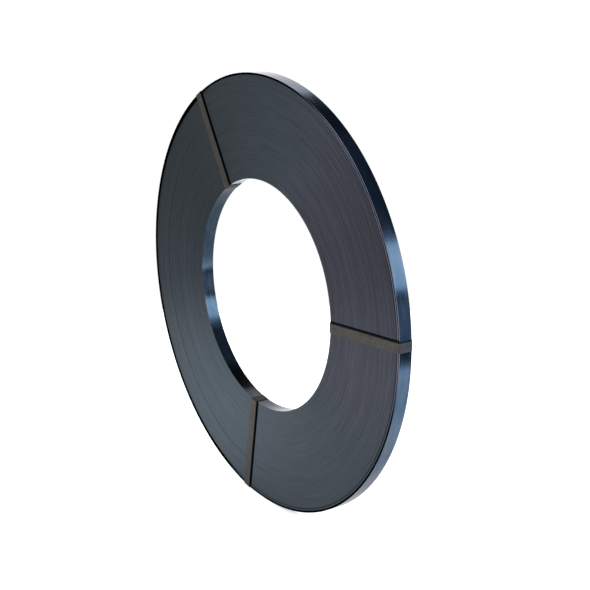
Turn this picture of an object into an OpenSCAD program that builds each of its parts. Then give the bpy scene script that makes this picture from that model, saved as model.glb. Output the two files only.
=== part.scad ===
// Ribbon-wound coil of flat steel strip, held by three short binding straps.
// Millimetres. The coil stands on its rim: its axis is along Y, its front end
// faces -Y, and the origin is on the floor, under the middle of its width.

/* [Strip] */
// Width of the strip, along the axis of the coil
strip_w = 17; // [10:0.5:60]
// Thickness of the strip, which is one turn of the winding
strip_t = 0.5; // [0.3:0.05:1.5]

/* [Winding] */
// Diameter of the bore
bore_d = 300; // [150:1:420]
// Diameter over the outermost turn
coil_d = 564; // [450:1:900]
// Turns that lie level with each other, between one step on the ends and the next
turns_per_band = 12; // [6:1:40]
// Most that one band of turns stands above another
stagger = 0.3; // [0.05:0.05:0.6]
// Chamfer on both edges of a band, which leaves a groove between two bands
band_chamfer = 0.2; // [0.1:0.05:0.4]

/* [Binding straps] */
// Width of a binding strap
strap_w = 13; // [6:0.5:32]
// Thickness of a binding strap
strap_t = 0.5; // [0.4:0.1:1.5]
// Slack of the strap over the front end of the coil
strap_slack = 0.6; // [0.1:0.05:0.9]
// Gap between the strap and the curved faces of the coil
side_gap = 0.03; // [0.02:0.01:0.5]
// Bend radius inside the strap's corners
bend_r = 0.4; // [0.2:0.1:0.8]
// Length of the lap joint on the back end of the coil
lap_len = 34; // [20:1:60]

/* [Hidden] */
$fn = 256;
// Each strap's name, its direction as seen from the front, in degrees from +X,
// and how far its line runs off the axis
strap_runs = [["strap_right", 5.5, -15], ["strap_top", 122, 0], ["strap_bottom", -99, 4]];

bore_r = bore_d / 2;
coil_r = coil_d / 2;
coil_h = strip_w + stagger;

// The pieces are drawn with the axis along Z, from the back of the lap joints, which are two
// straps thick, to the front of the straps
coil_z = 2 * strap_t;
strap_z = coil_z + coil_h + strap_slack;
depth = strap_z + strap_t;
band_count = floor((coil_r - bore_r) / (turns_per_band * strip_t));
band_pitch = (coil_r - bore_r) / band_count;

// How far a band stands forward: no two neighbours are level
golden = (sqrt(5) - 1) / 2;
function band_rise(i) = i == band_count - 1 ? stagger : stagger * (i * golden - floor(i * golden));

// A flat strap touches the round bore along its two edges, and the rim along its middle
bore_leg = sqrt(bore_r * bore_r - strap_w * strap_w / 4) - side_gap;
rim_leg = coil_r + side_gap;

// Extra height of the turned blocks, taken off where they are trimmed level
level_trim = 0.01;

// One end of a band's section, from the bore outwards, at the height z
function band_end(i, z, c) =
    let (inner = bore_r + i * band_pitch, outer = inner + band_pitch)
        [[inner, z + c], [inner + band_chamfer, z], [outer - band_chamfer, z], [outer, z + c]];

// Section through the winding: the back ends outwards, then the front ends inwards
winding_section = concat(
    [for (i = [0:band_count - 1])
        each band_end(i, band_rise(i), band_chamfer)],
    [for (i = [band_count - 1:-1:0], k = [3:-1:0])
        band_end(i, band_rise(i) + strip_w, -band_chamfer)[k]]
);

module coil() {
    color("#3c444c")
        translate([0, 0, coil_z])
            rotate_extrude() polygon(winding_section);
}

// Rectangle with rounded corners, from two opposite corners
module rounded_box(low, high, r) {
    size = high - low;
    translate(low + [0, r]) square([size.x, size.y - 2 * r]);
    translate(low + [r, 0]) square([size.x - 2 * r, size.y]);
    for (x = [low.x + r, high.x - r], y = [low.y + r, high.y - r])
        translate([x, y]) circle(r, $fn = 48);
}

// Block that the strap goes round, grown by g, along the strap's own line: each end is turned
// to lie flat on the curved wall there, and both ends are trimmed level by the same two planes
module wrapped_block(off, g, width) {
    low = [bore_leg - g, coil_z - g];
    high = [rim_leg + g, strap_z + g];
    middle = (bore_r + coil_r) / 2;
    // Direction of the wall at each end, and the stretch of the strap that takes it
    for (side = [[asin(off / bore_r), 0, middle], [asin(off / coil_r), middle, 2 * coil_r]])
        intersection() {
            rotate([90, 0, side[0]])
                linear_extrude(coil_r, center = true)
                    rounded_box(low - [0, level_trim], high + [0, level_trim], bend_r + g);
            translate([side[1], off - width / 2, low.y])
                cube([side[2] - side[1], width, high.y - low.y]);
        }
}

// One band round the section of the coil, with its ends lapped on the back end
module strap(run) {
    off = run[2];
    color("#4a4845")
        rotate(run[1]) {
            difference() {
                wrapped_block(off, strap_t, strap_w);
                wrapped_block(off, 0, 2 * strap_w);
            }
            translate([(bore_r + coil_r - lap_len) / 2, off - strap_w / 2, 0])
                cube([lap_len, strap_w, strap_t]);
        }
}

// Stands a piece on the rim of the coil, midway across its width
module stand() {
    translate([0, depth / 2, coil_r]) rotate([90, 0, 0]) children();
}

stand() coil();
for (run = strap_runs)
    stand() strap(run);
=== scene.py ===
"""Looks of a ribbon-wound coil of blued steel strip, held by three binding straps.

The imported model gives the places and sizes. Everything is in metres. The coil stands on its rim,
its winding axis runs along Y, and its front end faces -Y.
"""
from __future__ import annotations

import logging
import math
from dataclasses import dataclass, field
from enum import Enum

import bmesh
import bpy
from mathutils import Matrix, Vector

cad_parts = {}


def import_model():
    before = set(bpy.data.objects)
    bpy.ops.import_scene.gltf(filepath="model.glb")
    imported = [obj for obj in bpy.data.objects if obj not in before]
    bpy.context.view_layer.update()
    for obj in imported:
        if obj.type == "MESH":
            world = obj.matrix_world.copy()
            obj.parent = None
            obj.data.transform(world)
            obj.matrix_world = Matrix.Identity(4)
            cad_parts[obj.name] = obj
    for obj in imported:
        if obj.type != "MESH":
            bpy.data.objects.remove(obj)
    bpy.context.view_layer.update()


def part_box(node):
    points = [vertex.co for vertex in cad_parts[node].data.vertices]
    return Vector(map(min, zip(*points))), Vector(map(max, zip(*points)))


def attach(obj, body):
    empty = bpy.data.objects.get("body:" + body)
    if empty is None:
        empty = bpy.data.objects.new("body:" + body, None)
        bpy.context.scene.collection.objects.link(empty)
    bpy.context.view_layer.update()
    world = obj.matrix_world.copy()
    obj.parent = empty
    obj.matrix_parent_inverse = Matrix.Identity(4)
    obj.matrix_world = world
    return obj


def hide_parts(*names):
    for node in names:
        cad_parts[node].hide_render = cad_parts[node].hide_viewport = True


MM = 0.001
BODY = "root"
WHITE = (1.0, 1.0, 1.0, 1.0)
LOG = logging.getLogger("steel_coil")


class Slot(Enum):
    """Material slots of the record."""

    STRIP = "strip"
    STRAP = "strap"


class CoilPart(Enum):
    """The kinds of surface on the wound strip."""

    ENDS = "wound_edges"
    RIM = "rim_wall"
    BORE = "bore_wall"


# --------------------------------------------------------------------------------------------
# Node helpers
# --------------------------------------------------------------------------------------------


class NodeWriter:
    """Adds nodes to a tree from left to right and joins them."""

    def __init__(self, tree: bpy.types.NodeTree) -> None:
        """Start writing in a tree.

        Args:
            tree: the shader or geometry tree to write in.
        """
        self.tree = tree
        self.column = 0

    def add(self, kind: str, label: str = "", **settings: object) -> bpy.types.Node:
        """Add one node.

        Args:
            kind: the node's type name.
            label: words to show on the node.
            settings: attributes of the node to set.

        Returns:
            The new node.
        """
        node = self.tree.nodes.new(kind)
        node.label = label
        node.location = (self.column * 180, -(self.column % 4) * 120)
        self.column += 1
        for name, value in settings.items():
            setattr(node, name, value)
        return node

    def join(self, source: object, target: bpy.types.NodeSocket) -> None:
        """Feed a socket from another socket, or set it to a plain value."""
        if isinstance(source, bpy.types.NodeSocket):
            self.tree.links.new(source, target)
        else:
            target.default_value = source

    def math(self, operation: str, *values: object, label: str = "") -> bpy.types.NodeSocket:
        """Add a Math node, with sockets or numbers as its inputs.

        Args:
            operation: the node's operation.
            values: what goes into its inputs, in order.
            label: words to show on the node.

        Returns:
            The node's output.
        """
        node = self.add("ShaderNodeMath", label, operation=operation)
        for socket, value in zip(node.inputs, values):
            self.join(value, socket)
        return node.outputs[0]

    def vector(self, operation: str, *values: object, label: str = "") -> bpy.types.NodeSocket:
        """Add a Vector Math node, with sockets or vectors as its inputs.

        Args:
            operation: the node's operation.
            values: what goes into its inputs, in order.
            label: words to show on the node.

        Returns:
            The output that the operation fills.
        """
        node = self.add("ShaderNodeVectorMath", label, operation=operation)
        for socket, value in zip(node.inputs, values):
            self.join(value, socket)
        return node.outputs["Value" if operation in ("LENGTH", "DOT_PRODUCT") else "Vector"]

    def switch(self, test: object, no: object, yes: object) -> bpy.types.NodeSocket:
        """Pick one of two numbers by a test of 0 or 1, as no + test * (yes - no)."""
        gain = self.math("SUBTRACT", yes, no)
        return self.math("MULTIPLY_ADD", test, gain, no)


# --------------------------------------------------------------------------------------------
# Finishes
# --------------------------------------------------------------------------------------------


def heading(degrees: float) -> tuple[float, float, float]:
    """Unit vector on the end of the coil, at an angle from +X towards +Z."""
    course = math.radians(degrees)
    return (math.cos(course), 0, math.sin(course))


@dataclass(frozen=True)
class RingCoordinates:
    """Shader coordinates that follow the winding: round it, out from its axis and along it."""

    axis_height: float

    def write(self, nodes: NodeWriter) -> tuple[bpy.types.NodeSocket, ...]:
        """Write the nodes.

        Args:
            nodes: the writer of the material's tree.

        Returns:
            The unit vector out from the axis, the distance from it, and the place along it.
        """
        coords = nodes.add("ShaderNodeTexCoord", "object coordinates")
        low = nodes.vector("SUBTRACT", coords.outputs["Object"], (0, 0, self.axis_height))
        flat = nodes.vector("MULTIPLY", low, (1, 0, 1), label="out from the axis")
        apart = nodes.add("ShaderNodeSeparateXYZ")
        nodes.join(low, apart.inputs[0])
        outwards = nodes.vector("NORMALIZE", flat)
        distance = nodes.vector("LENGTH", flat)
        return outwards, distance, apart.outputs["Y"]


@dataclass(frozen=True)
class Streaks:
    """Noise drawn out round the winding, as the lines that the turns and the rolling leave."""

    pitch: float
    drift: float
    detail: float = 2.0

    def write(
        self, nodes: NodeWriter, outwards: bpy.types.NodeSocket, across: bpy.types.NodeSocket
    ) -> bpy.types.NodeSocket:
        """Write the nodes.

        Args:
            nodes: the writer of the material's tree.
            outwards: unit vector out from the axis, which says where on the round a point is.
            across: the coordinate that the streaks change quickly along.

        Returns:
            The noise, about 0.5 on average.
        """
        slow = nodes.vector("SCALE", outwards, label="slow change round the ring")
        slow.node.inputs["Scale"].default_value = self.drift
        quick = nodes.add("ShaderNodeCombineXYZ", "quick change across the lines")
        nodes.join(nodes.math("DIVIDE", across, self.pitch), quick.inputs["Y"])
        noise = nodes.add("ShaderNodeTexNoise", "streaks", noise_dimensions="3D")
        noise.inputs["Scale"].default_value = 1.0
        noise.inputs["Detail"].default_value = self.detail
        nodes.join(nodes.vector("ADD", slow, quick.outputs[0]), noise.inputs["Vector"])
        return noise.outputs[0]


class Finish:
    """A material with one Principled shader, written by a subclass."""

    name = "finish"

    def write(self, nodes: NodeWriter, shader: bpy.types.Node) -> None:
        """Write the nodes that feed the shader."""
        raise NotImplementedError

    def material(self) -> bpy.types.Material:
        """Make the material.

        Returns:
            The new material.
        """
        made = bpy.data.materials.new(self.name)
        made.use_nodes = True
        made.node_tree.nodes.clear()
        nodes = NodeWriter(made.node_tree)
        shader = nodes.add("ShaderNodeBsdfPrincipled", self.name)
        self.write(nodes, shader)
        output = nodes.add("ShaderNodeOutputMaterial")
        nodes.join(shader.outputs[0], output.inputs["Surface"])
        return made

    @staticmethod
    def ramp(
        nodes: NodeWriter, factor: bpy.types.NodeSocket, *stops: tuple[float, tuple[float, ...]]
    ) -> bpy.types.NodeSocket:
        """Write a colour ramp.

        Args:
            nodes: the writer of the material's tree.
            factor: what goes into the ramp.
            stops: places and their colours.

        Returns:
            The ramp's colour.
        """
        node = nodes.add("ShaderNodeValToRGB", "tones")
        elements = node.color_ramp.elements
        while len(elements) < len(stops):
            elements.new(0.5)
        for element, (place, colour) in zip(elements, stops):
            element.position = place
            element.color = (*colour, 1.0)
        nodes.join(factor, node.inputs[0])
        return node.outputs[0]


@dataclass(frozen=True)
class StrapShadowSeam:
    """Painted shadow: a dark line on the coil's end beside one edge of a strap, where the gap under it
    and its shadow fall.

    Args:
        direction: the strap's direction, in degrees, as seen from the front.
        edge: how far the seam's middle is from the strap's line through the axis.
        half_width: half the seam's width.
        darkness: how much of the steel's tone it takes away.
    """

    direction: float
    edge: float
    half_width: float = 1.3 * MM
    darkness: float = 0.93

    def write(self, nodes: NodeWriter, flat: bpy.types.NodeSocket) -> bpy.types.NodeSocket:
        """Write the nodes.

        Args:
            nodes: the writer of the material's tree.
            flat: the place on the end of the coil, from its axis.

        Returns:
            1 on the seam and 0 off it, with soft sides.
        """
        along = nodes.vector("DOT_PRODUCT", flat, heading(self.direction))
        aside = nodes.vector("DOT_PRODUCT", flat, heading(self.direction + 90))
        off = nodes.math("ABSOLUTE", nodes.math("SUBTRACT", aside, self.edge))
        inside = nodes.add("ShaderNodeMapRange", "inside the seam", interpolation_type="SMOOTHSTEP")
        nodes.join(off, inside.inputs["Value"])
        inside.inputs["From Min"].default_value = self.half_width * 1.35
        inside.inputs["From Max"].default_value = self.half_width * 0.65
        return nodes.math("MULTIPLY", inside.outputs[0], nodes.math("GREATER_THAN", along, 0.0))


@dataclass(frozen=True)
class RimShadeAndHighlightLine:
    """Painted line near the rim: dark ones are painted shade along the edges and gaps of the outer turns,
    bright ones painted edge highlights; all round or on an arc.

    Args:
        distance: how far the line is from the axis.
        half_width: half its width.
        gain: what it multiplies the steel's tone by.
        middle: direction of the middle of its arc, in degrees.
        reach: cosine, from the middle, where the line starts to show; below -1 is all round.
    """

    distance: float
    half_width: float
    gain: float
    middle: float = 0.0
    reach: float = -3.0

    def write(
        self, nodes: NodeWriter, outwards: bpy.types.NodeSocket, distance: bpy.types.NodeSocket
    ) -> bpy.types.NodeSocket:
        """Write the nodes.

        Args:
            nodes: the writer of the material's tree.
            outwards: unit vector out from the axis.
            distance: distance from the axis.

        Returns:
            The gain on the line, and 1 off it.
        """
        off = nodes.math("ABSOLUTE", nodes.math("SUBTRACT", distance, self.distance))
        inside = nodes.add("ShaderNodeMapRange", "inside the line")
        nodes.join(off, inside.inputs["Value"])
        inside.inputs["From Min"].default_value = self.half_width * 1.3
        inside.inputs["From Max"].default_value = self.half_width * 0.7
        toward = nodes.vector("DOT_PRODUCT", outwards, heading(self.middle))
        shown = nodes.add("ShaderNodeMapRange", "on its arc", interpolation_type="SMOOTHSTEP")
        nodes.join(toward, shown.inputs["Value"])
        shown.inputs["From Min"].default_value = self.reach
        shown.inputs["From Max"].default_value = self.reach + 0.25
        there = nodes.math("MULTIPLY", inside.outputs[0], shown.outputs[0])
        return nodes.math("MULTIPLY_ADD", there, self.gain - 1.0, 1.0)


@dataclass(frozen=True)
class WoundEdges(Finish):
    """Ends of the coil: the satin edges of many turns of strip, seen side by side."""

    axis_height: float
    turn: float
    seams: tuple[StrapShadowSeam, ...]
    lines: tuple[RimShadeAndHighlightLine, ...]
    name: str = "wound_edges"
    teal: tuple[float, float, float] = (0.060, 0.081, 0.101)
    plum: tuple[float, float, float] = (0.070, 0.074, 0.099)
    roughness: float = 0.42
    anisotropy: float = 0.6
    relief: float = 0.022 * MM
    plum_side: float = 20.0
    # Where the painted sheen is brightest, the side it favours, and how strong it is
    fan: float = 48.7
    low_side: float = -62.0
    base_gain: float = 0.60
    low_gain: float = 0.15
    fan_gain: float = 0.64

    def painted_sheen(self, nodes: NodeWriter, outwards: bpy.types.NodeSocket) -> bpy.types.NodeSocket:
        """Write a painted sheen: the fan of highlights that brushed rings show, painted brightest at two
        opposite places and brighter towards one side.

        Args:
            nodes: the writer of the material's tree.
            outwards: unit vector out from the axis.

        Returns:
            What it multiplies the steel's tone by.
        """
        along = nodes.vector("DOT_PRODUCT", outwards, heading(self.fan))
        below = nodes.vector("DOT_PRODUCT", outwards, heading(self.low_side))
        base = nodes.math("MULTIPLY_ADD", below, self.low_gain, self.base_gain)
        return nodes.math("MULTIPLY_ADD", nodes.math("MULTIPLY", along, along), self.fan_gain, base)

    def write(self, nodes: NodeWriter, shader: bpy.types.Node) -> None:
        """Write fine rings at three scales, with slow drifts of tone round the coil, a painted sheen, and
        painted shade and highlight lines near the rim and beside the straps.

        Args:
            nodes: the writer of the material's tree.
            shader: the Principled shader to feed.
        """
        outwards, distance, _ = RingCoordinates(self.axis_height).write(nodes)
        fine = Streaks(0.5 * self.turn, 9.0, 1.0).write(nodes, outwards, distance)
        rings = Streaks(2.2 * self.turn, 4.0, 3.0).write(nodes, outwards, distance)
        bands = Streaks(40 * self.turn, 1.2, 2.0).write(nodes, outwards, distance)
        side = nodes.vector("DOT_PRODUCT", outwards, heading(self.plum_side))
        drift = nodes.math("MULTIPLY_ADD", bands, 0.3, -0.07)
        drift = nodes.math("MULTIPLY_ADD", side, 0.6, drift, label="redder on one side")
        tone = self.ramp(nodes, drift, (0.38, self.teal), (0.58, self.plum))
        contrast = nodes.math("MULTIPLY_ADD", side, 0.3, 1.25, label="plainer turns on one side")
        apart = nodes.math("SUBTRACT", rings, 0.5, label="lighter and darker turns")
        gain = nodes.math("MULTIPLY_ADD", apart, contrast, 1.0)
        # Painted sheen: highlights of the brushed rings, painted into the colour
        gain = nodes.math("MULTIPLY", gain, self.painted_sheen(nodes, outwards))
        # Painted shade lines and painted edge highlights near the rim, then painted shadows beside the
        # straps
        painted_shade_and_highlights = 1.0
        for line in self.lines:
            painted_shade_and_highlights = nodes.math("MULTIPLY", painted_shade_and_highlights, line.write(nodes, outwards, distance))
        flat = nodes.vector("SCALE", outwards)
        nodes.join(distance, flat.node.inputs["Scale"])
        # Painted shadow beside each strap
        for seam in self.seams:
            dark = seam.write(nodes, flat)
            painted_shade_and_highlights = nodes.math("MULTIPLY", painted_shade_and_highlights, nodes.math("MULTIPLY_ADD", dark, -seam.darkness, 1.0))
        gain = nodes.math("MULTIPLY", gain, painted_shade_and_highlights)
        # Where painted shade darkens the steel, its grazing reflection is darkened too
        grazing_in_painted_shade = nodes.vector("SCALE", (1.0, 1.0, 1.0))
        nodes.join(nodes.math("MINIMUM", painted_shade_and_highlights, 1.0), grazing_in_painted_shade.node.inputs["Scale"])
        nodes.join(grazing_in_painted_shade, shader.inputs["Specular Tint"])
        shaded = nodes.vector("SCALE", tone)
        nodes.join(gain, shaded.node.inputs["Scale"])
        nodes.join(shaded, shader.inputs["Base Color"])
        shader.inputs["Metallic"].default_value = 1.0
        rough = nodes.math("MULTIPLY_ADD", rings, 0.2, self.roughness - 0.1)
        nodes.join(rough, shader.inputs["Roughness"])
        shader.inputs["Anisotropic"].default_value = self.anisotropy
        nodes.join(outwards, shader.inputs["Tangent"])
        height = nodes.math("MULTIPLY_ADD", fine, 0.5, rings)
        bump = nodes.add("ShaderNodeBump", "edges of single turns")
        bump.inputs["Strength"].default_value = 0.7
        bump.inputs["Distance"].default_value = self.relief
        nodes.join(height, bump.inputs["Height"])
        nodes.join(bump.outputs[0], shader.inputs["Normal"])


@dataclass(frozen=True)
class PaintedReflectionArc:
    """Painted reflection: a stretch of the winding whose colour is multiplied by a tint, for the studio's
    reflections, highlights and shade on that arc.

    Args:
        middle: direction of its middle from the axis, in degrees.
        start: cosine, from the middle, where it starts.
        full: cosine, from the middle, where it is complete.
        tint: what it multiplies the steel's colour by.
    """

    middle: float
    start: float
    full: float
    tint: tuple[float, float, float]

    def write(
        self, nodes: NodeWriter, outwards: bpy.types.NodeSocket, colour: bpy.types.NodeSocket
    ) -> bpy.types.NodeSocket:
        """Write the nodes.

        Args:
            nodes: the writer of the material's tree.
            outwards: unit vector out from the axis.
            colour: the steel's colour so far.

        Returns:
            The colour with this arc on it.
        """
        toward = nodes.vector("DOT_PRODUCT", outwards, heading(self.middle))
        shown = nodes.add("ShaderNodeMapRange", "on its arc", interpolation_type="SMOOTHSTEP")
        nodes.join(toward, shown.inputs["Value"])
        shown.inputs["From Min"].default_value = self.start
        shown.inputs["From Max"].default_value = self.full
        change = nodes.vector("SCALE", tuple(part - 1.0 for part in self.tint))
        nodes.join(shown.outputs[0], change.node.inputs["Scale"])
        tint = nodes.vector("ADD", change, (1, 1, 1))
        return nodes.vector("MULTIPLY", colour, tint)


@dataclass(frozen=True)
class BluedWall(Finish):
    """Rolled face of the strip, blued and glossy, seen on the rim or in the bore."""

    axis_height: float
    name: str
    # Painted reflections, highlights and shade, arc by arc
    painted_arcs: tuple[PaintedReflectionArc, ...] = ()
    navy: tuple[float, float, float] = (0.055, 0.105, 0.172)
    steel: tuple[float, float, float] = (0.100, 0.150, 0.220)
    grazing: tuple[float, float, float] = (0.80, 0.76, 0.78)
    roughness: float = 0.17
    relief: float = 0.012 * MM

    def write(self, nodes: NodeWriter, shader: bpy.types.Node) -> None:
        """Write the temper colours, the painted reflection arcs, and rolling lines along the strip.

        Args:
            nodes: the writer of the material's tree.
            shader: the Principled shader to feed.
        """
        outwards, _, along = RingCoordinates(self.axis_height).write(nodes)
        clouds = Streaks(9 * MM, 7.0, 3.0).write(nodes, outwards, along)
        lines = Streaks(0.35 * MM, 5.0, 2.0).write(nodes, outwards, along)
        colour = self.ramp(nodes, clouds, (0.32, self.navy), (0.68, self.steel))
        # Painted reflections, highlights and shade on their arcs
        for arc in self.painted_arcs:
            colour = arc.write(nodes, outwards, colour)
        nodes.join(colour, shader.inputs["Base Color"])
        shader.inputs["Metallic"].default_value = 1.0
        shader.inputs["Specular Tint"].default_value = (*self.grazing, 1.0)
        haze = nodes.math("MULTIPLY_ADD", clouds, 0.16, self.roughness - 0.08)
        nodes.join(haze, shader.inputs["Roughness"])
        bump = nodes.add("ShaderNodeBump", "rolling lines")
        bump.inputs["Strength"].default_value = 0.5
        bump.inputs["Distance"].default_value = self.relief
        nodes.join(nodes.math("MULTIPLY_ADD", clouds, 2.0, lines), bump.inputs["Height"])
        nodes.join(bump.outputs[0], shader.inputs["Normal"])


@dataclass(frozen=True)
class OxidisedStrap(Finish):
    """Binding strap: satin brown-grey oxide, with faint scratches and brighter edges, painted shade along
    one edge and in the bore, and a painted reflection on the rim.
    """

    axis_height: float
    bore_radius: float
    rim_radius: float
    name: str = "oxidised_strap"
    shade: tuple[float, float, float] = (0.055, 0.051, 0.046)
    worn: tuple[float, float, float] = (0.109, 0.102, 0.095)
    roughness: float = 0.42
    # Width of the painted shade along one edge
    painted_shade_width: float = 0.9 * MM
    # How much of the tone the painted shade in the bore leaves
    bore_shade: float = 0.3
    grazing: tuple[float, float, float] = (0.68, 0.68, 0.68)
    # Painted reflection: lighter and bluer where the strap lies on the rim
    rim_reflection_tint: tuple[float, float, float] = (0.5, 0.75, 1.4)

    def write(self, nodes: NodeWriter, shader: bpy.types.Node) -> None:
        """Write the oxide's tones from the strap's own UV map, so that they follow its bends, with
        painted shade along one edge and in the bore and a painted reflection on the rim.

        Args:
            nodes: the writer of the material's tree.
            shader: the Principled shader to feed.
        """
        chart = nodes.add("ShaderNodeUVMap", "strap map", uv_map=BindingStrap.CHART)
        stretched = nodes.vector("MULTIPLY", chart.outputs[0], (14.0, 900.0, 1.0))
        scratches = nodes.add("ShaderNodeTexNoise", "scratches along the strap")
        scratches.inputs["Scale"].default_value = 1.0
        scratches.inputs["Detail"].default_value = 3.0
        nodes.join(stretched, scratches.inputs["Vector"])
        blotches = nodes.add("ShaderNodeTexNoise", "oxide blotches")
        blotches.inputs["Scale"].default_value = 120.0
        blotches.inputs["Detail"].default_value = 4.0
        nodes.join(chart.outputs[0], blotches.inputs["Vector"])
        mixed = nodes.math("MULTIPLY_ADD", blotches.outputs[0], 0.5, 0.0)
        mixed = nodes.math("MULTIPLY_ADD", scratches.outputs[0], 0.5, mixed)
        colour = self.ramp(nodes, mixed, (0.36, self.shade), (0.70, self.worn))
        apart = nodes.add("ShaderNodeSeparateXYZ")
        nodes.join(chart.outputs[0], apart.inputs[0])
        # Painted shade along one edge of the strap
        dark = nodes.add("ShaderNodeMapRange", "painted shade along one edge", interpolation_type="SMOOTHSTEP")
        nodes.join(apart.outputs["Y"], dark.inputs["Value"])
        dark.inputs["From Min"].default_value = self.painted_shade_width
        dark.inputs["From Max"].default_value = self.painted_shade_width * 1.8
        dark.inputs["To Min"].default_value = 0.12
        _, distance, _ = RingCoordinates(self.axis_height).write(nodes)
        # Painted shade on the strap's legs in the bore
        in_bore = nodes.math("LESS_THAN", distance, self.bore_radius)
        shaded_in_bore = nodes.math("MULTIPLY_ADD", in_bore, self.bore_shade - 1.0, 1.0, label="painted shade in the bore")
        # Painted reflection: lighter and bluer where the strap lies on the rim
        on_rim = nodes.vector("SCALE", self.rim_reflection_tint)
        nodes.join(nodes.math("GREATER_THAN", distance, self.rim_radius), on_rim.node.inputs["Scale"])
        colour = nodes.vector("MULTIPLY", colour, nodes.vector("ADD", on_rim, (1.0, 1.0, 1.0)))
        colour = nodes.vector("SCALE", colour)
        nodes.join(nodes.math("MULTIPLY", shaded_in_bore, dark.outputs[0]), colour.node.inputs["Scale"])
        nodes.join(colour, shader.inputs["Base Color"])
        shader.inputs["Metallic"].default_value = 0.85
        shader.inputs["Specular Tint"].default_value = (*self.grazing, 1.0)
        rough = nodes.math("MULTIPLY_ADD", mixed, 0.3, self.roughness - 0.15)
        nodes.join(rough, shader.inputs["Roughness"])
        bump = nodes.add("ShaderNodeBump", "scratches")
        bump.inputs["Strength"].default_value = 0.35
        bump.inputs["Distance"].default_value = 0.02 * MM
        nodes.join(mixed, bump.inputs["Height"])
        nodes.join(bump.outputs[0], shader.inputs["Normal"])


@dataclass(frozen=True)
class PaleFloor(Finish):
    """Matt white studio floor."""

    name: str = "pale_floor"
    tone: float = 0.9
    glow: float = 0.45

    def write(self, nodes: NodeWriter, shader: bpy.types.Node) -> None:
        """Set the floor's plain tone.

        Args:
            nodes: the writer of the material's tree.
            shader: the Principled shader to feed.
        """
        shader.inputs["Base Color"].default_value = (self.tone, self.tone, self.tone, 1.0)
        shader.inputs["Roughness"].default_value = 1.0
        shader.inputs["Specular IOR Level"].default_value = 0.0
        shader.inputs["Emission Color"].default_value = WHITE
        seen = nodes.add("ShaderNodeLightPath").outputs["Is Camera Ray"]
        glow = nodes.math("MULTIPLY", seen, self.glow, label="burns out to white where it is seen")
        nodes.join(glow, shader.inputs["Emission Strength"])


# --------------------------------------------------------------------------------------------
# The wound strip
# --------------------------------------------------------------------------------------------


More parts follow.
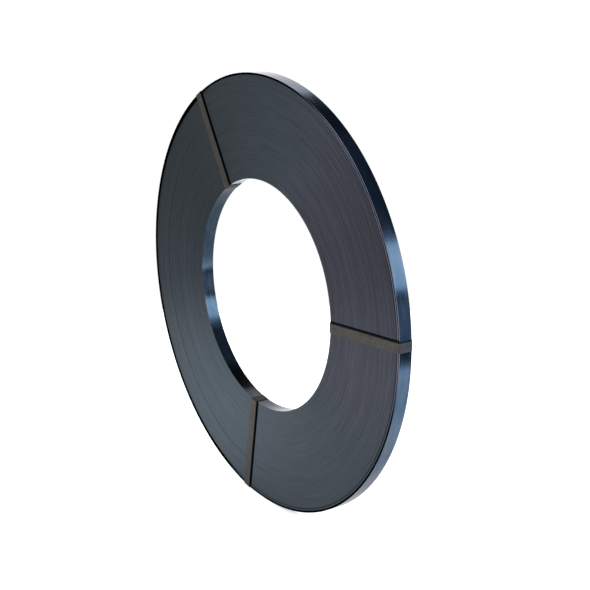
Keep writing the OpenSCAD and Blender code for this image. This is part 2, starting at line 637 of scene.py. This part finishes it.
@dataclass
class WoundStrip:
    """The coil itself. Its section is stepped, leaf by leaf, and a leaf is a few turns."""

    bore_radius: float
    rim_radius: float
    axis_height: float
    front: float
    back: float
    turn: float = 0.5 * MM
    turns_per_leaf: int = 2
    stagger: float = 0.18 * MM
    segments: int = 180
    seed: int = 7
    # The leaf that has slipped back near the rim, how far, and the arc where it shows
    slipped_leaf: int = 2
    slip: float = 1.1 * MM
    slip_middle: float = math.radians(40)
    slip_half_arc: float = math.radians(46)
    name: str = "coil_winding"
    inputs: dict[str, str] = field(default_factory=dict)

    @property
    def leaves(self) -> int:
        """Number of leaves between the bore and the rim."""
        return round((self.rim_radius - self.bore_radius) / (self.turn * self.turns_per_leaf))

    def named_input(self, tree: bpy.types.NodeTree, name: str, kind: str) -> None:
        """Add a named input to the tree and keep its identifier."""
        socket = tree.interface.new_socket(name, in_out="INPUT", socket_type=kind)
        self.inputs[name] = socket.identifier

    def tree(self) -> bpy.types.NodeTree:
        """Write the tree that winds the coil from a flat grid.

        Rings of the grid become the corners of the section, from the bore out along the front
        and back in along the rear, and columns of the grid go round the axis.

        Returns:
            The geometry node tree.
        """
        tree = bpy.data.node_groups.new("wind_coil", "GeometryNodeTree")
        tree.is_modifier = True
        for name in ("Bore Radius", "Leaf Thickness", "Front", "Strip Width", "Stagger", "Axis Height"):
            self.named_input(tree, name, "NodeSocketFloat")
        for name in ("Slip", "Slip Middle", "Slip Half Arc"):
            self.named_input(tree, name, "NodeSocketFloat")
        for name in ("Leaves", "Segments", "Slipped Leaf", "Seed"):
            self.named_input(tree, name, "NodeSocketInt")
        for part in CoilPart:
            self.named_input(tree, part.value, "NodeSocketMaterial")
        tree.interface.new_socket("Geometry", in_out="OUTPUT", socket_type="NodeSocketGeometry")

        nodes = NodeWriter(tree)
        given = nodes.add("NodeGroupInput").outputs
        rings = nodes.math("MULTIPLY", given["Leaves"], 4, label="rings of the section")
        ring_points = nodes.math("ADD", rings, 1)
        grid = nodes.add("GeometryNodeMeshGrid", "flat grid")
        nodes.join(nodes.math("ADD", given["Segments"], 1), grid.inputs["Vertices X"])
        nodes.join(ring_points, grid.inputs["Vertices Y"])

        index = nodes.add("GeometryNodeInputIndex").outputs[0]
        column = nodes.math("FLOOR", nodes.math("DIVIDE", index, ring_points))
        ring = nodes.math("SUBTRACT", index, nodes.math("MULTIPLY", column, ring_points))
        ring = nodes.math("MODULO", ring, rings, label="the last ring is the first again")
        last_front = nodes.math("SUBTRACT", nodes.math("MULTIPLY", rings, 0.5), 0.5)
        is_back = nodes.math("GREATER_THAN", ring, last_front)
        mirrored = nodes.math("SUBTRACT", nodes.math("SUBTRACT", rings, 1), ring)
        level = nodes.math("MINIMUM", ring, mirrored, label="same count outwards on both ends")
        leaf = nodes.math("FLOOR", nodes.math("MULTIPLY", level, 0.5), label="leaf")
        outer_side = nodes.math("SUBTRACT", level, nodes.math("MULTIPLY", leaf, 2))

        radius = nodes.math("ADD", leaf, outer_side)
        radius = nodes.math("MULTIPLY_ADD", radius, given["Leaf Thickness"], given["Bore Radius"])
        angle = nodes.math("DIVIDE", nodes.math("MULTIPLY", column, math.tau), given["Segments"])

        scatter = nodes.add("FunctionNodeRandomValue", "how far the leaf stands back", data_type="FLOAT")
        nodes.join(leaf, scatter.inputs["ID"])
        nodes.join(given["Seed"], scatter.inputs["Seed"])
        stands_back = nodes.math("MULTIPLY", scatter.outputs[1], given["Stagger"])
        away = nodes.math("SUBTRACT", angle, given["Slip Middle"])
        away = nodes.math("ARCCOSINE", nodes.math("COSINE", away), label="angle from the slip")
        fade = nodes.add("ShaderNodeMapRange", "slip fades out", interpolation_type="SMOOTHERSTEP")
        nodes.join(away, fade.inputs["Value"])
        nodes.join(given["Slip Half Arc"], fade.inputs["From Min"])
        nodes.join(nodes.math("MULTIPLY", given["Slip Half Arc"], 0.5), fade.inputs["From Max"])
        wanted = nodes.math("SUBTRACT", given["Leaves"], given["Slipped Leaf"])
        is_wanted = nodes.math("COMPARE", leaf, wanted, 0.1)
        slip = nodes.math("MULTIPLY", nodes.math("MULTIPLY", is_wanted, fade.outputs[0]), given["Slip"])
        slip = nodes.math("MULTIPLY", slip, nodes.math("SUBTRACT", 1.0, is_back))
        stands_back = nodes.math("ADD", stands_back, slip)

        depth = nodes.math("ADD", given["Front"], stands_back)
        depth = nodes.math("MULTIPLY_ADD", is_back, given["Strip Width"], depth)
        height = nodes.math("MULTIPLY_ADD", nodes.math("SINE", angle), radius, given["Axis Height"])
        place = nodes.add("ShaderNodeCombineXYZ", "place on the winding")
        nodes.join(nodes.math("MULTIPLY", nodes.math("COSINE", angle), radius), place.inputs["X"])
        nodes.join(depth, place.inputs["Y"])
        nodes.join(height, place.inputs["Z"])
        wind = nodes.add("GeometryNodeSetPosition", "wind the grid up")
        nodes.join(grid.outputs["Mesh"], wind.inputs["Geometry"])
        nodes.join(place.outputs[0], wind.inputs["Position"])

        weld = nodes.add("GeometryNodeMergeByDistance", "close both seams")
        nodes.join(wind.outputs[0], weld.inputs["Geometry"])
        weld.inputs["Distance"].default_value = 0.002 * MM
        smooth = nodes.add("GeometryNodeSetShadeSmooth", "round along the turns", domain="FACE")
        nodes.join(weld.outputs[0], smooth.inputs["Geometry"])
        crease = nodes.add("GeometryNodeInputMeshEdgeAngle")
        steep = nodes.math("GREATER_THAN", crease.outputs[0], math.radians(35))
        sharp = nodes.add("GeometryNodeSetShadeSmooth", "sharp between leaves", domain="EDGE")
        nodes.join(smooth.outputs[0], sharp.inputs["Geometry"])
        nodes.join(steep, sharp.inputs["Selection"])
        sharp.inputs["Shade Smooth"].default_value = False
        outward = nodes.add("GeometryNodeFlipFaces", "face outwards")
        nodes.join(sharp.outputs[0], outward.inputs["Mesh"])
        real = nodes.add("GeometryNodeRealizeInstances")
        nodes.join(outward.outputs[0], real.inputs["Geometry"])
        geometry = self.paint(nodes, given, real.outputs[0])
        nodes.join(geometry, nodes.add("NodeGroupOutput").inputs["Geometry"])
        return tree

    @staticmethod
    def paint(
        nodes: NodeWriter, given: bpy.types.NodeOutputs, geometry: bpy.types.NodeSocket
    ) -> bpy.types.NodeSocket:
        """Give the ends and the two walls their materials.

        Args:
            nodes: the writer of the tree.
            given: the tree's inputs.
            geometry: the wound mesh.

        Returns:
            The mesh with its materials.
        """
        ends = nodes.add("GeometryNodeSetMaterial", "all of it as ends")
        nodes.join(geometry, ends.inputs["Geometry"])
        nodes.join(given[CoilPart.ENDS.value], ends.inputs["Material"])
        centre = nodes.add("GeometryNodeInputPosition").outputs[0]
        drop = nodes.add("ShaderNodeCombineXYZ")
        nodes.join(given["Axis Height"], drop.inputs["Z"])
        centre = nodes.vector("SUBTRACT", centre, drop.outputs[0])
        distance = nodes.vector("LENGTH", nodes.vector("MULTIPLY", centre, (1, 0, 1)))
        tenth = nodes.math("MULTIPLY", given["Leaf Thickness"], 0.1)
        in_bore = nodes.math("LESS_THAN", distance, nodes.math("ADD", given["Bore Radius"], tenth))
        span = nodes.math("MULTIPLY", given["Leaves"], given["Leaf Thickness"])
        rim = nodes.math("SUBTRACT", nodes.math("ADD", given["Bore Radius"], span), tenth)
        on_rim = nodes.math("GREATER_THAN", distance, rim)
        painted = ends.outputs[0]
        for part, chosen in ((CoilPart.RIM, on_rim), (CoilPart.BORE, in_bore)):
            wall = nodes.add("GeometryNodeSetMaterial", part.value)
            nodes.join(painted, wall.inputs["Geometry"])
            nodes.join(chosen, wall.inputs["Selection"])
            nodes.join(given[part.value], wall.inputs["Material"])
            painted = wall.outputs[0]
        return painted

    def build(self, finishes: dict[CoilPart, bpy.types.Material]) -> bpy.types.Object:
        """Wind the coil and turn it into a plain mesh.

        Args:
            finishes: the material of each kind of surface.

        Returns:
            The coil's object, at the origin.
        """
        tree = self.tree()
        sizes = {
            "Bore Radius": self.bore_radius,
            "Leaf Thickness": (self.rim_radius - self.bore_radius) / self.leaves,
            "Front": self.front,
            "Strip Width": self.back - self.front - self.stagger,
            "Stagger": self.stagger,
            "Axis Height": self.axis_height,
            "Slip": self.slip,
            "Slip Middle": self.slip_middle,
            "Slip Half Arc": self.slip_half_arc,
            "Leaves": self.leaves,
            "Segments": self.segments,
            "Slipped Leaf": self.slipped_leaf,
            "Seed": self.seed,
        }
        values = sizes | {part.value: finishes[part] for part in CoilPart}
        blank = bpy.data.objects.new(self.name, bpy.data.meshes.new(self.name))
        bpy.context.scene.collection.objects.link(blank)
        wind = blank.modifiers.new("wind", "NODES")
        wind.node_group = tree
        for name, value in values.items():
            wind[self.inputs[name]] = value
        return plain_mesh(blank)


def plain_mesh(piece: bpy.types.Object) -> bpy.types.Object:
    """Replace a piece's mesh by the result of its modifiers, and remove them.

    Args:
        piece: the object with the modifiers.

    Returns:
        The same object.
    """
    bpy.context.view_layer.update()
    graph = bpy.context.evaluated_depsgraph_get()
    made = bpy.data.meshes.new_from_object(piece.evaluated_get(graph), depsgraph=graph)
    piece.modifiers.clear()
    piece.data = made
    made.name = piece.name
    return piece


# --------------------------------------------------------------------------------------------
# The binding straps
# --------------------------------------------------------------------------------------------


@dataclass(frozen=True)
class StrapStation:
    """One cross-section of a strap, in the plane of its loop.

    Args:
        reach: distance of the strap's middle from the axis, square to the wall it lies on.
        axial: place along the axis.
        facing: direction that its outer face looks in, from the way out of the axis.
        turn: turn of the strap about the axis, to lie flat on the wall.
    """

    reach: float
    axial: float
    facing: float
    turn: float


@dataclass
class BindingStrap:
    """A flat steel band round the section of the ring, its two ends lapped on the back."""

    CHART = "strap_chart"

    node: str
    direction: float
    off_axis: float
    bore_radius: float
    rim_radius: float
    axis_height: float
    front: float
    back: float
    width: float = 13 * MM
    thickness: float = 0.5 * MM
    side_gap: float = 0.03 * MM
    bend: float = 0.65 * MM
    edge_round: float = 0.12 * MM
    lap: float = 34 * MM
    joggle: float = 4 * MM
    bend_steps: int = 6
    # Which edge of the strap gets the painted shade
    shaded_edge_side: int = 1

    @property
    def name(self) -> str:
        """Name of the visible piece."""
        return f"binding_{self.node}"

    def bend_round(self, reach: float, axial: float, start: float, turn: float) -> list[StrapStation]:
        """Stations round one right-angled bend.

        Args:
            reach: distance of the bend's centre from the axis.
            axial: place of the bend's centre along the axis.
            start: facing at the start of the bend, in right angles.
            turn: turn of the strap about the axis.

        Returns:
            The stations, in order.
        """
        made = []
        for step in range(self.bend_steps + 1):
            facing = (start + step / self.bend_steps) * math.pi / 2
            out = reach + self.bend * math.cos(facing)
            up = axial + self.bend * math.sin(facing)
            made.append(StrapStation(out, up, facing, turn))
        return made

    def loop(self) -> list[StrapStation]:
        """Stations from the inner end of the lap, through the bore and over the rim, to the outer end."""
        half = self.thickness / 2
        bore_turn = math.asin(self.off_axis / self.bore_radius)
        rim_turn = math.asin(self.off_axis / self.rim_radius)
        bore = math.sqrt(self.bore_radius**2 - self.width**2 / 4) - self.side_gap - half
        rim = self.rim_radius + self.side_gap + half
        front = self.front + half
        outer_layer = self.back - half
        inner_layer = outer_layer - self.thickness
        middle = (self.bore_radius + self.rim_radius) / 2
        near, far = bore + self.bend, rim - self.bend
        deep, shallow = inner_layer - self.bend, front + self.bend
        made = [
            StrapStation(middle + self.lap / 2 - 0.5 * MM, inner_layer, math.pi / 2, 0.0),
            StrapStation(middle - self.lap / 2 - 2 * MM, inner_layer, math.pi / 2, 0.0),
        ]
        made += self.bend_round(near, deep, 1, bore_turn)
        made += self.bend_round(near, shallow, 2, bore_turn)
        for share in (0.02, 0.2, 0.4, 0.6, 0.8, 0.98):
            turn = bore_turn + (rim_turn - bore_turn) * share
            made.append(StrapStation(near + (far - near) * share, front, math.pi * 1.5, turn))
        made += self.bend_round(far, shallow, 3, rim_turn)
        made += self.bend_round(far, deep, 4, rim_turn)
        start = middle + self.lap / 2
        for step in range(7):
            rise = 0.5 - 0.5 * math.cos(math.pi * step / 6)
            lift = inner_layer + self.thickness * rise
            made.append(StrapStation(start + self.joggle * (1 - step / 6), lift, math.pi * 2.5, 0.0))
        made.append(StrapStation(middle - self.lap / 2, outer_layer, math.pi * 2.5, 0.0))
        return made

    def section(self) -> list[tuple[float, float]]:
        """Outline across the strap, as (across, outwards), with rounded edges and firm flats."""
        r = self.edge_round
        wide, thick = self.width / 2 - r, self.thickness / 2 - r
        outline: list[tuple[float, float]] = []
        for quarter, (x, y) in enumerate(((1, 1), (-1, 1), (-1, -1), (1, -1))):
            arc = [
                (
                    x * wide + r * math.cos((quarter + step / 3) * math.pi / 2),
                    y * thick + r * math.sin((quarter + step / 3) * math.pi / 2),
                )
                for step in range(4)
            ]
            inset = (x * (wide - 0.25 * MM), y * self.thickness / 2)
            outline += [*arc, inset] if quarter % 2 == 0 else [inset, *arc]
        return outline

    def place(self, station: StrapStation, across: float, outwards: float) -> Vector:
        """Point of the strap in the room.

        Args:
            station: the cross-section that it lies on.
            across: how far it is across the strap.
            outwards: how far it is out of the strap's middle layer.

        Returns:
            The point.
        """
        reach = station.reach + outwards * math.cos(station.facing)
        axial = station.axial + outwards * math.sin(station.facing)
        aside = self.off_axis + across
        along = (reach - aside * math.sin(station.turn)) / math.cos(station.turn)
        if station.turn == 0.0:
            along = reach
        course = math.radians(self.direction)
        x = along * math.cos(course) - aside * math.sin(course)
        z = along * math.sin(course) + aside * math.cos(course)
        return Vector((x, axial, z + self.axis_height))

    def build(self, finish: bpy.types.Material) -> bpy.types.Object:
        """Bend the strap into its loop.

        Args:
            finish: the strap's material.

        Returns:
            The strap's object, at the origin.
        """
        stations, outline = self.loop(), self.section()
        work = bmesh.new()
        chart = work.loops.layers.uv.new(self.CHART)
        rings = [[work.verts.new(self.place(at, *point)) for point in outline] for at in stations]
        lengths = [0.0]
        for one, two in zip(rings, rings[1:]):
            lengths.append(lengths[-1] + (two[0].co - one[0].co).length)
        # The chart runs in from the edge that gets painted shade
        in_from_edge = [self.width / 2 - across * self.shaded_edge_side for across, _ in outline]
        count = len(outline)
        for row in range(len(stations) - 1):
            for side in range(count):
                after = (side + 1) % count
                corners = ((row, side), (row, after), (row + 1, after), (row + 1, side))
                face = work.faces.new([rings[ring][spot] for ring, spot in corners])
                for corner, (ring, spot) in zip(face.loops, corners):
                    corner[chart].uv = (lengths[ring], in_from_edge[spot])
        for end in (rings[0], rings[-1]):
            for spot in range(count // 2 - 1):
                opposite = count - 1 - spot
                work.faces.new((end[spot], end[spot + 1], end[opposite - 1], end[opposite]))
        bmesh.ops.recalc_face_normals(work, faces=work.faces)
        for face in work.faces:
            face.smooth = True
        for edge in work.edges:
            edge.smooth = edge.calc_face_angle(0.0) < math.radians(40)
        mesh = bpy.data.meshes.new(self.name)
        work.to_mesh(mesh)
        work.free()
        mesh.materials.append(finish)
        piece = bpy.data.objects.new(self.name, mesh)
        bpy.context.scene.collection.objects.link(piece)
        return piece


# --------------------------------------------------------------------------------------------
# Studio
# --------------------------------------------------------------------------------------------


@dataclass(frozen=True)
class SoftPanel:
    """A flat soft light that faces a point of the coil."""

    name: str
    heading: Vector
    distance: float
    width: float
    height: float
    radiance: float

    def build(self, target: Vector) -> bpy.types.Object:
        """Hang the panel.

        Args:
            target: the point that it faces.

        Returns:
            The light's object.
        """
        lamp = bpy.data.lights.new(self.name, "AREA")
        lamp.shape = "RECTANGLE"
        lamp.size, lamp.size_y = self.width, self.height
        lamp.energy = self.radiance * math.pi * self.width * self.height
        panel = bpy.data.objects.new(self.name, lamp)
        away = self.heading.normalized()
        panel.location = target + away * self.distance
        panel.rotation_euler = away.to_track_quat("Z", "Y").to_euler()
        panel.visible_camera = False
        bpy.context.scene.collection.objects.link(panel)
        return panel


@dataclass(frozen=True)
class Studio:
    """Pale floor, soft panels and a plain surround."""

    centre: Vector
    floor_radius: float = 0.84
    white: float = 1.01
    surround: float = 1.25
    dark_side: float = 0.05

    def floor(self) -> bpy.types.Object:
        """Lay the floor, a round pale sheet.

        Returns:
            The floor's object.
        """
        work = bmesh.new()
        bmesh.ops.create_circle(work, cap_ends=True, segments=128, radius=self.floor_radius)
        mesh = bpy.data.meshes.new("studio_floor")
        work.to_mesh(mesh)
        work.free()
        mesh.materials.append(PaleFloor().material())
        sheet = bpy.data.objects.new("studio_floor", mesh)
        sheet.location.z = -0.0002
        bpy.context.scene.collection.objects.link(sheet)
        return sheet

    def world(self) -> None:
        """Make the surround white, but dark where it would show in the steel."""
        world = bpy.data.worlds.new("studio")
        world.use_nodes = True
        world.node_tree.nodes.clear()
        nodes = NodeWriter(world.node_tree)
        path = nodes.add("ShaderNodeLightPath")
        lit = nodes.switch(path.outputs["Is Diffuse Ray"], self.dark_side, self.surround)
        strength = nodes.switch(path.outputs["Is Camera Ray"], lit, self.white)
        background = nodes.add("ShaderNodeBackground")
        background.inputs["Color"].default_value = WHITE
        nodes.join(strength, background.inputs["Strength"])
        output = nodes.add("ShaderNodeOutputWorld")
        nodes.join(background.outputs[0], output.inputs["Surface"])
        bpy.context.scene.world = world

    def build(self) -> None:
        """Set the whole studio up."""
        self.world()
        self.floor()
        panels = (
            SoftPanel("back_right_panel", Vector((0.793, 0.528, 0.318)), 1.6, 0.9, 0.50, 2.3),
            SoftPanel("low_right_glow", Vector((0.845, 0.528, -0.06)), 1.9, 1.0, 0.55, 0.3),
            SoftPanel("back_left_panel", Vector((-0.83, 0.528, 0.20)), 1.5, 1.2, 2.05, 1.7),
            SoftPanel("front_left_fill", Vector((-0.79, -0.53, -0.10)), 2.6, 3.4, 3.2, 0.62),
            SoftPanel("front_key", Vector((-0.35, -0.80, 0.62)), 2.2, 1.2, 1.2, 1.6),
        )
        for panel in panels:
            panel.build(self.centre)
        scene = bpy.context.scene
        scene.view_settings.view_transform = "Standard"
        scene.view_settings.look = "None"


@dataclass(frozen=True)
class StudioCamera:
    """Camera on a level orbit round the coil's front end."""

    aim: Vector
    azimuth: float = math.radians(55.88)
    elevation: float = math.radians(17.34)
    distance: float = 1.7126
    lens: float = 82.0
    shift_right: float = 42.2 * MM
    shift_up: float = 1.1 * MM

    def build(self) -> bpy.types.Object:
        """Place the camera and make it the scene's own.

        Returns:
            The camera's object.
        """
        flat = math.cos(self.elevation)
        level = Vector((math.sin(self.azimuth) * flat, -math.cos(self.azimuth) * flat, 0.0))
        back = level + Vector((0.0, 0.0, math.sin(self.elevation)))
        right = Vector((math.cos(self.azimuth), math.sin(self.azimuth), 0.0))
        up = back.cross(right)
        data = bpy.data.cameras.new("studio_camera")
        data.lens = self.lens
        data.sensor_width = 36.0
        camera = bpy.data.objects.new("studio_camera", data)
        place = self.aim + right * self.shift_right + up * self.shift_up + back * self.distance
        turn = Matrix((right, up, back)).transposed().to_4x4()
        camera.matrix_world = Matrix.Translation(place) @ turn
        bpy.context.scene.collection.objects.link(camera)
        bpy.context.scene.camera = camera
        return camera


# --------------------------------------------------------------------------------------------
# Assembly
# --------------------------------------------------------------------------------------------


@dataclass
class SteelCoil:
    """The whole object: the wound strip and the straps round it."""

    # Each strap's node, direction, distance of its line from the axis, and the edge that gets painted
    # shade
    STRAPS = (
        ("strap_right", 5.5, -15.0, 1),
        ("strap_top", 122.0, 0.0, -1),
        ("strap_bottom", -99.0, 4.0, 1),
    )
    BORE = 150 * MM

    def sizes(self) -> dict[str, float]:
        """Read the coil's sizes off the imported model.

        Returns:
            Rim radius, axis height, and the front and back of the winding.
        """
        low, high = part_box("coil")
        return {
            "rim_radius": (high.x - low.x) / 2,
            "axis_height": (high.z + low.z) / 2,
            "front": low.y,
            "back": high.y,
        }

    def build(self) -> list[bpy.types.Object]:
        """Wind the strip, bind it and hand the pieces to the frame.

        Returns:
            The finished pieces.
        """
        sizes = self.sizes()
        height = sizes["axis_height"]
        rim = sizes["rim_radius"]
        # Painted lines near the rim: below 1 painted shade along the outer turns, above 1 painted edge
        # highlights
        lines = (
            RimShadeAndHighlightLine(rim - 1.2 * MM, 1.5 * MM, 0.05, 210.0, -0.92),
            RimShadeAndHighlightLine(rim - 2.8 * MM, 3.2 * MM, 0.06, 188.0, 0.25),
            RimShadeAndHighlightLine(rim - 0.8 * MM, 0.6 * MM, 4.5, 28.0, 0.62),
            RimShadeAndHighlightLine(rim - 2.2 * MM, 0.5 * MM, 0.2, 28.0, 0.55),
            RimShadeAndHighlightLine(rim - 3.3 * MM, 0.4 * MM, 4.0, 28.0, 0.66),
            RimShadeAndHighlightLine(rim - 5.2 * MM, 0.7 * MM, 0.45, -40.0, 0.35),
        )
        # Painted shadows beside the straps, where the gaps under them fall
        seams = (StrapShadowSeam(122.0, -7.9 * MM), StrapShadowSeam(5.5, -7.2 * MM, 0.7 * MM), StrapShadowSeam(-99.0, 12.0 * MM))
        ends = WoundEdges(height, 0.5 * MM, seams, lines).material()
        # Painted reflections on the rim: lighter, and bluer or warmer, on these arcs
        rim_painted_reflections = (
            PaintedReflectionArc(96.0, 0.86, 0.99, (1.6, 1.1, 0.85)),
            PaintedReflectionArc(42.0, 0.95, 0.99, (1.4, 1.6, 2.0)),
            PaintedReflectionArc(6.0, 0.975, 0.995, (1.15, 1.25, 1.45)),
            PaintedReflectionArc(-50.0, 0.80, 0.98, (1.35, 1.15, 1.05)),
        )
        # Painted highlights in the bore where the tint is above 1, painted shade where it is below 1
        bore_painted_highlights_and_shade = (
            PaintedReflectionArc(148.0, 0.84, 0.92, (0.46, 0.44, 0.42)),
            PaintedReflectionArc(103.0, 0.93, 0.98, (2.6, 2.3, 2.1)),
            PaintedReflectionArc(186.0, 0.985, 0.998, (1.4, 1.35, 1.35)),
            PaintedReflectionArc(220.0, 0.965, 0.99, (1.8, 2.0, 2.2)),
            PaintedReflectionArc(258.0, 0.90, 0.98, (0.5, 0.36, 0.29)),
        )
        finishes = {
            CoilPart.ENDS: ends,
            CoilPart.RIM: BluedWall(height, CoilPart.RIM.value, rim_painted_reflections).material(),
            CoilPart.BORE: BluedWall(height, CoilPart.BORE.value, bore_painted_highlights_and_shade).material(),
        }
        winding = WoundStrip(bore_radius=self.BORE, **sizes)
        coil = winding.build(finishes)
        self.hand_over(coil, "coil", Slot.STRIP)
        pieces = [coil]
        oxide = OxidisedStrap(height, self.BORE, rim).material()
        for node, direction, off_axis, shaded_edge_side in self.STRAPS:
            low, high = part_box(node)
            strap = BindingStrap(
                node=node,
                direction=direction,
                off_axis=off_axis * MM,
                bore_radius=self.BORE,
                rim_radius=rim,
                axis_height=height,
                front=low.y,
                back=high.y,
                shaded_edge_side=shaded_edge_side,
            )
            piece = strap.build(oxide)
            self.hand_over(piece, node, Slot.STRAP)
            pieces.append(piece)
        return pieces

    @staticmethod
    def hand_over(piece: bpy.types.Object, node: str, slot: Slot) -> None:
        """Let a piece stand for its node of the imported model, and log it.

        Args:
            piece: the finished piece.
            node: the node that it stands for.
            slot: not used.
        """
        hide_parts(node)
        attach(piece, BODY)
        piece.data.calc_loop_triangles()
        LOG.info("%s: %d triangles for %s", piece.name, len(piece.data.loop_triangles), node)


def main() -> None:
    """Build the coil and its studio."""
    logging.basicConfig(level=logging.INFO, format="%(name)s: %(message)s")
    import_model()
    SteelCoil().build()
    low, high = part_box("coil")
    face = Vector((0.0, low.y, (low.z + high.z) / 2))
    Studio(centre=face).build()
    StudioCamera(aim=face).build()


if __name__ == "__main__":
    main()
